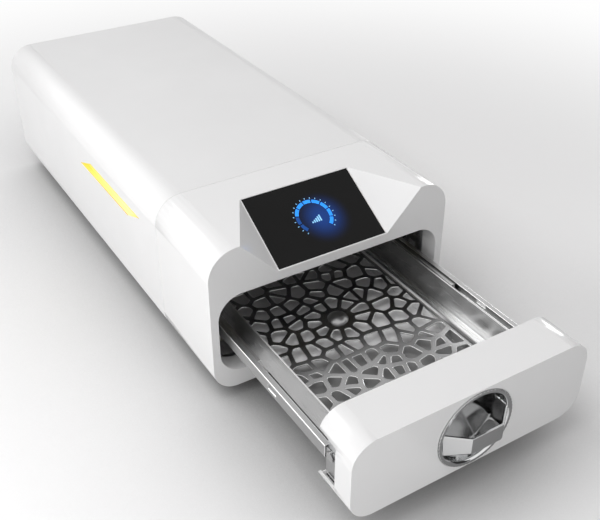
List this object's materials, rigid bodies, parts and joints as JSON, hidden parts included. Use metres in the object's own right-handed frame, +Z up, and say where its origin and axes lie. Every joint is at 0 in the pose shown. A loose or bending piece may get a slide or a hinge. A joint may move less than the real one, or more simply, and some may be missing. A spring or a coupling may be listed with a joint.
{
  "type": "bench-top drawer autoclave",
  "caption": "White bench-top steam autoclave with a sloping black touch screen, side light strips and a deep steel drawer closed by a bolted door with a turning scoop knob.",
  "frame": {"origin": "on the bench plane, under the middle of the whole machine measured with its drawer fully open", "axes": "+X to the right seen from the front, +Y from the door to the back, +Z up"},
  "size_m": [0.252, 0.7754, 0.162],
  "materials": {
    "white_satin": "satin white powder coat",
    "white_gloss": "high-gloss white moulding",
    "black_glass": "black printed cover glass, lit display",
    "amber_light": "translucent light guide, lit amber",
    "stainless": "brushed stainless steel",
    "rail_steel": "zinc-plated rolled steel",
    "galvanised_sheet": "galvanised sheet",
    "grey_sheet": "light grey powder coat",
    "chromed": "polished chrome",
    "steel_fixings": "turned steel",
    "bronze": "machined brass",
    "copper_pipe": "drawn copper",
    "aluminium_fins": "mill aluminium",
    "pump_casting": "grey cast housing",
    "black_rubber": "moulded rubber",
    "seal_rubber": "silicone seal",
    "heater_mat": "silicone heating mat",
    "insulation_felt": "needled glass felt",
    "black_plastic": "moulded black plastic",
    "black_gloss": "polished black plastic",
    "filter_plastic": "translucent filter body",
    "circuit_board": "green solder mask"
  },
  "bodies": {
    "casing": {"case_cover": "white_satin", "front_bezel": "white_gloss", "screen_glass": "black_glass", "screen_panel": "black_plastic", "screen_board": "circuit_board", "side_light_left": "amber_light", "side_light_right": "amber_light", "base_pan": "galvanised_sheet", "rubber_feet": "black_rubber", "rear_panel": "grey_sheet", "rear_screws": "steel_fixings", "chamber_vessel": "stainless", "chamber_gasket": "seal_rubber", "chamber_heaters": "heater_mat", "chamber_insulation": "insulation_felt", "lock_yoke": "stainless", "chamber_cradle": "galvanised_sheet", "electronics_deck": "galvanised_sheet", "fixed_rail_right": "rail_steel", "fixed_rail_left": "rail_steel", "lock_solenoid": "black_plastic", "steam_generator": "stainless", "vacuum_pump": "pump_casting", "water_pump": "black_plastic", "solenoid_valves": "bronze", "condenser": "aluminium_fins", "fan_housing": "black_plastic", "power_inlet": "black_plastic", "switch_frame": "black_plastic", "hose_fittings": "bronze", "air_filter": "filter_plastic", "power_supply": "aluminium_fins", "control_board": "circuit_board", "safety_valve": "bronze", "temperature_probe": "steel_fixings", "steam_pipes": "copper_pipe"},
    "drawer": {"door_shell": "white_gloss", "door_plate": "stainless", "drawer_rail_left": "rail_steel", "drawer_rail_right": "rail_steel", "rail_bracket_left": "rail_steel", "rail_bracket_right": "rail_steel", "lock_carrier": "galvanised_sheet", "knob_bush": "bronze", "bolt_guides": "black_plastic", "tray_frame": "stainless", "tray_basin": "stainless", "perforated_tray": "stainless", "tray_dome": "chromed"},
    "mid_rails": {"middle_rail_left": "rail_steel", "middle_rail_right": "rail_steel"},
    "knob": {"knob_ring": "chromed", "knob_grip": "chromed", "knob_shaft": "steel_fixings", "lock_pinion": "steel_fixings"},
    "bolt_left": {"lock_bolt_left": "steel_fixings"},
    "bolt_right": {"lock_bolt_right": "steel_fixings"},
    "fan_wheel": {"fan_rotor": "black_plastic"},
    "rocker": {"power_rocker": "black_gloss"},
    "locking_pin": {"lock_pin": "steel_fixings"}
  },
  "joints": [
    {"name": "drawer_slide", "type": "slide", "parent": "casing", "child": "drawer", "axis": [0, 1, 0], "range_m": [0, 0.1983]},
    {"name": "rail_slide", "type": "slide", "parent": "casing", "child": "mid_rails", "axis": [0, 1, 0], "range_m": [0, 0.09915]},
    {"name": "knob_turn", "type": "hinge", "parent": "drawer", "child": "knob", "pos_m": [0, -0.3397, 0.0725], "axis": [0, 1, 0], "range_deg": [0, 90]},
    {"name": "bolt_left_slide", "type": "slide", "parent": "drawer", "child": "bolt_left", "axis": [-1, 0, 0], "range_m": [0, 0.00943]},
    {"name": "bolt_right_slide", "type": "slide", "parent": "drawer", "child": "bolt_right", "axis": [1, 0, 0], "range_m": [0, 0.00943]},
    {"name": "fan_spin", "type": "hinge", "parent": "casing", "child": "fan_wheel", "pos_m": [0.062, 0.3582, 0.104], "axis": [0, 1, 0], "continuous": true},
    {"name": "rocker_tip", "type": "hinge", "parent": "casing", "child": "rocker", "pos_m": [-0.044, 0.3667, 0.048], "axis": [1, 0, 0], "range_deg": [0, 8]},
    {"name": "pin_slide", "type": "slide", "parent": "casing", "child": "locking_pin", "axis": [0, -1, 0], "range_m": [0, 0.008], "stiffness_N_per_m": 40}
  ],
  "couplings": [
    {"joint": "rail_slide", "follows": "drawer_slide", "ratio": 0.5},
    {"joint": "bolt_left_slide", "follows": "knob_turn", "m_per_rad": 0.006},
    {"joint": "bolt_right_slide", "follows": "knob_turn", "m_per_rad": 0.006}
  ]
}
